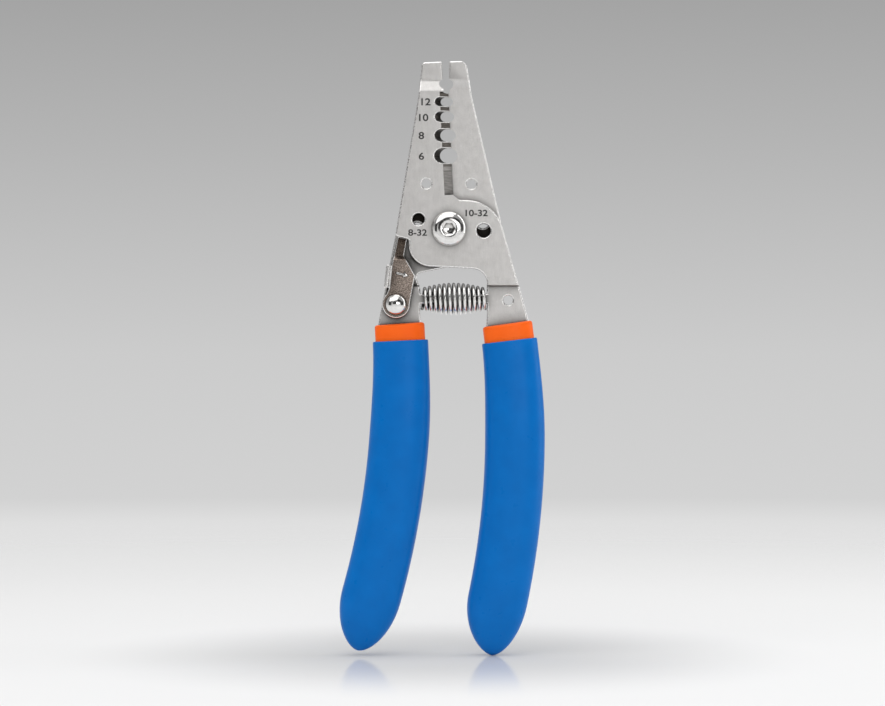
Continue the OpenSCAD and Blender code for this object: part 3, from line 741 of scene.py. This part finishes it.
# %% [markdown]
# ## Levers
#
# Both levers are stamped from 2.6 mm strip and bent, so that jaws and legs lie in one plane
# while the heads pass each other. Tumbling rounds every outline edge by about half a
# millimetre, and that edge catches the light. The ground blades stay sharp, the notches keep
# only a fine rim, and the right nose gets the wide outer corner that the real one has.

# %% Levers
blade_lean = {"front_lever": 2.75, "rear_lever": 1.25}
part_offset = 0.7
blade_low, ground_low, blade_high = 9.0, 9.7, 42.4
blade_reach, notch_reach = 3.6, 4.3
finger_hole = {"front_lever": (-1.42, 44.36), "rear_lever": (-0.27, 44.35)}
hole_r = 1.75
notch_low, notch_high = 18.5, 40.5
outside = {"front_lever": -1, "rear_lever": 1}
leg_end = 34.0
relief_x, relief_y = -11.5, -2.0
lever_weld, touching = 0.19, 0.05
nose_tip, nose_base = Vector((6.179, 51.447)), Vector((7.1, 40.4))
nose_r, wide_nose_r, nose_inset = 1.1, 2.3, 0.9
edge_round, bend_round, rim_round = 0.46, 0.5, 0.16
bores = {"front_lever": screw_bores}
open_turn = math.radians(16)
cos_open, sin_open = math.cos(open_turn), math.sin(open_turn)
bores["rear_lever"] = [
    (x * cos_open - z * sin_open, x * sin_open + z * cos_open, r) for x, z, r in screw_bores
]


def near_blade(node, at, reach):
    line_x = part_offset - at.z * math.tan(math.radians(blade_lean[node]))
    return blade_low < at.z < blade_high and abs(at.x - line_x) < reach


def left_sharp(node, at):
    """True at the blade, at the round hole and in the lock's relief, where rounding would cross."""
    hole_x, hole_z = finger_hole[node]
    in_relief = node == "front_lever" and at.x < relief_x and at.y > relief_y
    in_hole = math.hypot(at.x - hole_x, at.z - hole_z) < hole_r
    return in_relief or in_hole or near_blade(node, at, blade_reach)


def notch_rim(node, at, line):
    """True where a strip notch breaks through the outer side of its blade."""
    normals = [face.normal * outside[node] for face in line.link_faces]
    side, wall = sorted(normals, key=lambda normal: normal.y, reverse=True)
    through = line.is_convex and side.y > 0.7 and abs(wall.y) < 0.65 and wall.x > -0.9
    return through and near_blade(node, at, notch_reach) and notch_low < at.z < notch_high


def in_bore(node, at):
    return any(math.hypot(at.x - x, at.z - z) < r + touching for x, z, r in bores[node])


def corner_centre(corner, along, down, radius):
    """Where the round of a corner has its centre."""
    return corner + (along + down).normalized() * radius / math.sin(along.angle(down) / 2)


def ease_nose(piece):
    """Draws in the outer corner of the right nose and rounds it more."""
    lean = math.radians(blade_lean["rear_lever"])
    along = Vector((-math.cos(lean), -math.sin(lean)))
    drawn_tip = nose_tip + along * nose_inset
    was = corner_centre(nose_tip, along, (nose_base - nose_tip).normalized(), nose_r)
    new = corner_centre(drawn_tip, along, (nose_base - drawn_tip).normalized(), wide_nose_r)
    edit(piece)
    shape = bmesh.from_edit_mesh(piece.data)
    moved = 0
    for point in shape.verts:
        at = (point.co - pivot) / MM
        flat = Vector((at.x, at.z))
        share = (flat.y - nose_base.y) / (nose_tip.y - nose_base.y)
        edge_x = nose_base.x + (nose_tip.x - nose_base.x) * share
        if abs((flat - was).length - nose_r) < touching and (flat - was).dot(nose_tip - was) > 0:
            flat = new + (flat - was).normalized() * wide_nose_r
        elif 0 < share < 1 and abs(flat.x - edge_x) < touching:
            flat.x -= nose_inset * share
        else:
            continue
        point.co = pivot + Vector((flat.x, at.y, flat.y)) * MM
        moved += 1
    bmesh.update_edit_mesh(piece.data)
    print("  eased the right nose at", moved, "points")


def lever(node, body):
    finishes = [steel, worn_edge_glint, shaded_ground, dark_bore]
    piece = cad_copy(node, finishes, lever_weld)
    if node == "rear_lever":
        ease_nose(piece)
    bends = break_edges(piece, lambda at, line: bend(line) and not left_sharp(node, at), bend_round)
    # The rounded outline edges and the notch rims take the worn edge finish, which is partly a painted
    # highlight.
    rounded = break_edges(
        piece,
        lambda at, line: outline(line) and at.z > -leg_end and not left_sharp(node, at),
        edge_round,
        finish_place=1,
    )
    rims = break_edges(piece, lambda at, line: notch_rim(node, at, line), rim_round, finish_place=1)
    smooth(piece, flat_faces=True)
    own(piece, node + "_steel", finishes, body, "lever_steel", node)
    for face in piece.data.polygons:
        at = (face.center - pivot) / MM
        slanted = at.z > ground_low and abs(face.normal.y) < 0.97
        # Painted shade: faces in the screw bores take the near-black bore finish.
        if in_bore(node, at):
            face.material_index = 3
        # Painted shade: the slanted faces at the blade take the dark ground finish.
        elif face.material_index == 0 and slanted and near_blade(node, at, notch_reach):
            face.material_index = 2
    print("  rounded", bends, "bends,", rounded, "outline edges and", rims, "notch edges")
    return piece


lever("front_lever", "front")
lever("rear_lever", "rear")

# %% [markdown]
# ## Grips
#
# The handles follow one bow of 245 mm radius. Each dip is a rounded flat section that swells
# from its upper edge, runs down the bow and draws in to a leaning point. The orange first dip
# hugs the steel, and the blue second dip has a thin rounded lip on it. A curve with a bevel
# object could do this too, but it can't change width and thickness apart from each other.

# %% Grips
bow = 245.0
hands = {
    "right": dict(body="front", bow_x=20.2, bow_depth=63.0, tip=130.0, lean=2.0),
    "left": dict(body="rear", bow_x=-14.6, bow_depth=46.0, tip=128.8, lean=0.8),
}
band_top, grip_top = 29.0, 34.2
tang_half = (6.6, 1.3)
band_half = (7.65, 3.8)
lip_half = (8.5, 5.0)
grip_half = (9.165, 6.3)
tip_length = 16.5
tip_trim = 0.05
tip_wall = 5.0
tang_round = 17.5
swell_length = 30.0
skin = 0.02
no_tip = 1e3
shoulder, lip_r = 0.8, 0.4


def on_bow(hand, depth, across, out):
    turn = math.asin((depth - hand["bow_depth"]) / bow)
    x = hand["bow_x"] - bow + (bow + across) * math.cos(turn)
    z = -hand["bow_depth"] - (bow + across) * math.sin(turn)
    return pivot + Vector((x, out, z)) * MM


def section(hand, depth, half_w, half_t, end, square=2.5):
    near = 1 - min(1.0, max(0.0, (end - depth) / tip_length))
    drawn_in = max(0.0, 1 - near * near) ** 0.58
    shift = hand["lean"] * (1 - drawn_in)

    def ring(turn):
        c, s = math.cos(turn), math.sin(turn)
        across = math.copysign(abs(c) ** (2 / square), c) * half_w * drawn_in
        out = math.copysign(abs(s) ** (2 / square), s) * half_t * drawn_in
        return on_bow(hand, depth, shift + across, out)

    return ring


def depths(first, end, body_steps, tip_steps):
    straight = [first + (end - tip_length - first) * i / body_steps for i in range(body_steps + 1)]
    return straight + [end - tip_length * (1 - i / tip_steps) ** 2 for i in range(1, tip_steps + 1)]


def swell(share):
    share = min(1.0, max(0.0, share))
    return share * share * (3 - 2 * share)


def band(side):
    hand = hands[side]
    end = hand["tip"] - tip_wall
    inner_w, inner_t = tang_half[0] + skin, tang_half[1] + skin
    stop = hand["tip"] - tang_round
    rings = [lambda turn: on_bow(hand, stop + inner_w, 0, 0)]
    for i in range(1, 8):
        arc = math.pi / 2 * i / 8
        depth, half_w = stop + inner_w * math.cos(arc), inner_w * math.sin(arc)
        rings.append(section(hand, depth, half_w, inner_t, no_tip, 12))
    for i in range(9):
        depth = stop - (stop - band_top - 0.4) * i / 8
        rings.append(section(hand, depth, inner_w, inner_t, no_tip, 12))
    for i in range(9):
        arc = math.pi / 2 * i / 8
        half_w = inner_w + (band_half[0] - inner_w) * math.sin(arc)
        half_t = inner_t + (band_half[1] - inner_t) * math.sin(arc)
        square = 12 + (2.5 - 12) * math.sin(arc)
        depth = band_top + shoulder * (1 - math.cos(arc))
        rings.append(section(hand, depth, half_w, half_t, no_tip, square))
    outer_depths = depths(band_top + shoulder + 0.3, end, 16, 10)
    rings += [section(hand, depth, *band_half, end) for depth in outer_depths]
    piece = ring_chain(rings, 64)
    smooth(piece, 50)
    return own(piece, side + "_band", [orange], hand["body"], "band_vinyl", side + "_under_grip")


def grip(side):
    hand = hands[side]
    inner_end = hand["tip"] - tip_wall + 0.1
    inner = (band_half[0] + skin, band_half[1] + skin)
    inner_depths = depths(grip_top + lip_r, inner_end, 12, 9)
    rings = [section(hand, depth, *inner, inner_end) for depth in reversed(inner_depths)]
    for i in range(1, 8):
        arc = math.pi * i / 8
        share = (1 - math.cos(arc)) / 2
        half_w = inner[0] + (lip_half[0] - inner[0]) * share
        half_t = inner[1] + (lip_half[1] - inner[1]) * share
        depth = grip_top + lip_r * (1 - math.sin(arc))
        rings.append(section(hand, depth, half_w, half_t, no_tip))
    outer_end = hand["tip"] - tip_trim
    for d in depths(grip_top + lip_r, outer_end, 34, 20):
        share = swell((d - grip_top) / swell_length)
        half_w = lip_half[0] + (grip_half[0] - lip_half[0]) * share
        half_t = lip_half[1] + (grip_half[1] - lip_half[1]) * share
        rings.append(section(hand, d, half_w, half_t, outer_end))
    piece = ring_chain(rings, 72)
    smooth(piece, 60)
    return own(piece, side + "_grip", [blue], hand["body"], "grip_vinyl", side + "_outer_grip")


for side in hands:
    band(side)
for side in hands:
    grip(side)

# %% [markdown]
# ## Pivot screw, washer and nut
#
# The screw has a low plated head with a hexagon socket. Its profile is turned by extruding a
# circle along the axis, and two of the rings are hexagons instead, which makes the socket. A
# boolean cut would do it too, but leaves a ragged mesh round the corners.

# %% Pivot screw, washer and nut
def round_ring(centre, radius, y):
    return lambda turn: centre + Vector((radius * math.cos(turn), y, radius * math.sin(turn))) * MM


def hex_ring(centre, flats, y, most=1e3):
    def ring(turn):
        off = (turn % (math.pi / 3)) - math.pi / 6
        radius = min(flats / 2 / math.cos(off), most)
        return centre + Vector((radius * math.cos(turn), y, radius * math.sin(turn))) * MM

    return ring


axis = Vector((pivot.x, 0, pivot.z))
pin_axis = Vector((lock_pin.x, 0, lock_pin.z))
shank_r, thread_r, head_r = 3.0, 2.5, 5.3
head_back, head_rim, head_front = -2.65, -3.25, -5.05
shank_end, nut_front, nut_back = 2.7, 3.2, 5.8
crown_r = 2.65
socket_flats, socket_floor = 3.3, -3.55

turned = [(0, nut_back), (thread_r - 0.4, nut_back), (thread_r, nut_back - 0.4)]
turned += [(thread_r, shank_end), (shank_r, shank_end), (shank_r, head_back)]
turned += [(head_r - 0.15, head_back), (head_r, head_back - 0.15)]
turned += [
    (crown_r + (head_r - crown_r) * math.cos(a), head_rim + (head_front - head_rim) * math.sin(a))
    for a in [math.pi / 2 * i / 12 for i in range(13)]
]
turned += [(2.35, head_front), (2.2, head_front + 0.03), (2.1, head_front + 0.12)]
rings = [round_ring(axis, r, y) for r, y in turned]
socket = [(socket_flats + 0.25, head_front + 0.2), (socket_flats, head_front + 0.32)]
socket += [(socket_flats, socket_floor - 0.1), (socket_flats - 0.25, socket_floor)]
rings += [hex_ring(axis, flats, y) for flats, y in socket]
rings += [round_ring(axis, 0.9, socket_floor + 0.02), round_ring(axis, 0, socket_floor + 0.35)]
screw = ring_chain(rings)
smooth(screw)
own(screw, "pivot_screw_chrome", [chrome], "front", "screw_chrome", "pivot_screw")


def flat_ring(centre, bore, outside, front, back, broken):
    """A washer with broken edges, as a closed chain."""
    line = [(bore, front + broken), (bore + broken, front)]
    line += [(outside - broken, front), (outside, front + broken)]
    line += [(outside, back - broken), (outside - broken, back)]
    line += [(bore + broken, back), (bore, back - broken)]
    line.append(line[0])
    return ring_chain([round_ring(centre, r, y) for r, y in line])


bore_r = thread_r + skin
washer = flat_ring(axis, bore_r, 4.8, shank_end, nut_front, 0.1)
smooth(washer)
own(washer, "pivot_washer_zinc", [zinc], "front", "washer_steel", "pivot_washer")

nut_flats, corner_r = 8.0, 4.1
rings = [round_ring(axis, bore_r, nut_front + 0.3), round_ring(axis, bore_r + 0.3, nut_front)]
rings += [hex_ring(axis, nut_flats, nut_front, corner_r), hex_ring(axis, nut_flats, nut_front + 0.3)]
rings += [hex_ring(axis, nut_flats, nut_back - 0.3), hex_ring(axis, nut_flats, nut_back, corner_r)]
rings += [round_ring(axis, bore_r + 0.3, nut_back), round_ring(axis, bore_r, nut_back - 0.3), rings[0]]
nut = ring_chain(rings)
smooth(nut)
own(nut, "pivot_nut_chrome", [chrome], "front", "screw_chrome", "pivot_nut")

# %% [markdown]
# ## Thumb lock
#
# The lock is a thin sheet on a domed rivet. Its tip is set back behind the front head's
# shoulder and a tab is bent forward for the finger. The tab is rubbed down to its bright
# plating, and that lighter colour is also a painted highlight where the tab catches the light. A raised
# arrow shows which way it locks.

# %% Thumb lock
lock_finishes = [burnish, worn_edge_glint, zinc]
lock_weld, lock_round = 0.12, 0.27
lock = cad_copy("lock_lever", lock_finishes, lock_weld)
break_edges(lock, lambda at, line: sharp(line), lock_round, finish_place=1)
smooth(lock, flat_faces=True)
own(lock, "lock_sheet", lock_finishes, "lock", "lock_steel", "lock_lever")
tab_edge, tab_back = lock_pin.x - 1.6 * MM, -2.9 * MM
bend_low, bend_high = -11.0, -6.5
# Partly painted highlight: the tab's faces take the lighter zinc and its edges the worn edge finish, for
# worn plating and for the light the tab catches.
for face in lock.data.polygons:
    if face.center.x < tab_edge and face.center.y < tab_back:
        face.material_index = 1 if face.material_index else 2
    elif bend_low < (face.center.z - pivot.z) / MM < bend_high and abs(face.normal.x) < 0.2:
        face.material_index = 0

# %% Lock rivet and washer
rivet_r, dome_foot, dome_high, dome_steps = 3.2, -3.05, 1.85, 14
dome = [(0, 2.3), (2.3, 2.3), (2.667, 2.1), (3.0, 1.35)]
dome += [(2.95, 1.3), (2.0, 1.3), (2.0, -3.0), (3.1, -3.0)]
for step in range(dome_steps + 1):
    arc = math.pi / 2 * step / dome_steps
    dome.append((rivet_r * math.cos(arc), dome_foot - dome_high * math.sin(arc)))
rivet = ring_chain([round_ring(pin_axis, r, y) for r, y in dome])
smooth(rivet, 40)
own(rivet, "lock_rivet_chrome", [chrome], "rear", "screw_chrome", "lock_rivet")

lock_washer = flat_ring(pin_axis, 2.02, 3.8, -1.7, -1.3, 0.08)
smooth(lock_washer)
own(lock_washer, "lock_washer_zinc", [zinc], "rear", "washer_steel", "lock_washer")

# %% Arrow
arrow_line = [(-1.9, 0.34), (0.4, 0.28), (0.2, 0.9), (1.9, 0.0)]
arrow_line += [(0.2, -0.9), (0.4, -0.28), (-1.9, -0.34)]
arrow_place = Vector((-14.2, -2.95, -14.0))
arrow_turn = math.radians(-14)
clear()
bpy.ops.mesh.primitive_circle_add(vertices=len(arrow_line), fill_type="NGON")
arrow = bpy.context.object
for point, (along, up) in zip(arrow.data.vertices, arrow_line):
    x = along * math.cos(arrow_turn) - up * math.sin(arrow_turn)
    z = along * math.sin(arrow_turn) + up * math.cos(arrow_turn)
    point.co = pivot + (arrow_place + Vector((x, 0.05, z))) * MM
edit(arrow)
bpy.ops.mesh.extrude_region_move(TRANSFORM_OT_translate={"value": (0, -0.3 * MM, 0)})
bpy.ops.mesh.select_all(action="SELECT")
bpy.ops.mesh.normals_make_consistent(inside=False)
break_edges(arrow, lambda at, line: sharp(line) and at.y < arrow_place.y - 0.2, 0.12, 2)
smooth(arrow)
own(arrow, "lock_arrow", [chrome], "lock", "lock_steel")

# %% [markdown]
# ## Return spring
#
# One drawn wire winds thirteen turns on a barrel, from the horn of the left leg to the horn of
# the right leg, and its ends rest against the legs. A curve with a round bevel gives the wire.
# It stretches between the two levers, so it blends from the rear lever to the front one.

# %% Return spring
wire_d, turns = 1.05, 13
spring_z = -21.4
left_x, right_x = -8.8, 11.6
end_r, mid_r = (7.1 - wire_d) / 2, (10.0 - wire_d) / 2
lead = wire_d / 2 + 0.08
coil_steps = turns * 32


def coil(i):
    share = i / coil_steps
    a = 2 * math.pi * turns * share
    r = end_r + (mid_r - end_r) * math.sin(math.pi * share)
    x = left_x + lead + (right_x - left_x - 2 * lead) * share
    return (x, r * math.sin(a), spring_z - r * math.cos(a))


route = [coil(i) for i in range(coil_steps + 1)]
clear()
bpy.ops.curve.primitive_nurbs_path_add()
spring = bpy.context.object
spring.data.splines.clear()
run = spring.data.splines.new("POLY")
run.points.add(len(route) - 1)
for point, spot in zip(run.points, route):
    point.co = (*(pivot + Vector(spot) * MM), 1)
spring.data.bevel_depth = wire_d / 2 * MM
spring.data.bevel_resolution = 2
spring.data.use_fill_caps = True
bpy.ops.object.convert(target="MESH")
spring = bpy.context.object
edit(spring)
bpy.ops.mesh.remove_doubles(threshold=same_point)
bpy.ops.mesh.normals_make_consistent(inside=False)
smooth(spring, 60)
own(spring, "return_spring_wire", [drawn], None, "spring_wire", "return_spring")
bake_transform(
    spring,
    "rear",
    "front",
    start=pivot + Vector((left_x + wire_d, 0, spring_z)) * MM,
    end=pivot + Vector((right_x - wire_d, 0, spring_z)) * MM,
)

# %% [markdown]
# ## Size marks
#
# The strip sizes stand beside their notches and the screw sizes beside their holes, in dark
# ink. Ink could be a pattern in the steel's finish, but thin text meshes stay sharp up close.

# %% Size marks
face_y = -2.65
marks = [
    ("mark_12", "12", (-7.35, 38.6), 3.0),
    ("mark_10", "10", (-8.05, 33.8), 3.0),
    ("mark_8", "8", (-8.45, 28.3), 3.0),
    ("mark_6", "6", (-8.45, 22.0), 3.0),
    ("mark_8_32", "8-32", (-9.6, -1.3), 2.7),
    ("mark_10_32", "10-32", (8.15, 4.65), 2.7),
]
mark_wide = 1.18
ink_spread, ink_thick, ink_lift = 0.05, 0.012, 0.01
for name, words, (x, z), tall in marks:
    clear()
    bpy.ops.object.text_add()
    mark = bpy.context.object
    mark.data.body = words
    mark.data.size = tall * MM
    mark.data.align_x, mark.data.align_y = "CENTER", "CENTER"
    mark.data.offset = ink_spread * MM
    mark.data.extrude = ink_thick * MM
    bpy.ops.object.convert(target="MESH")
    mark = bpy.context.object
    mark.rotation_euler = (math.pi / 2, 0, 0)
    mark.scale.x = mark_wide
    mark.location = pivot + Vector((x, face_y - ink_lift, z)) * MM
    bpy.ops.object.transform_apply(location=True, rotation=True, scale=True)
    own(mark, name, [ink], "front", "lever_steel")

# %% Closing
clear()
bpy.context.view_layer.update()
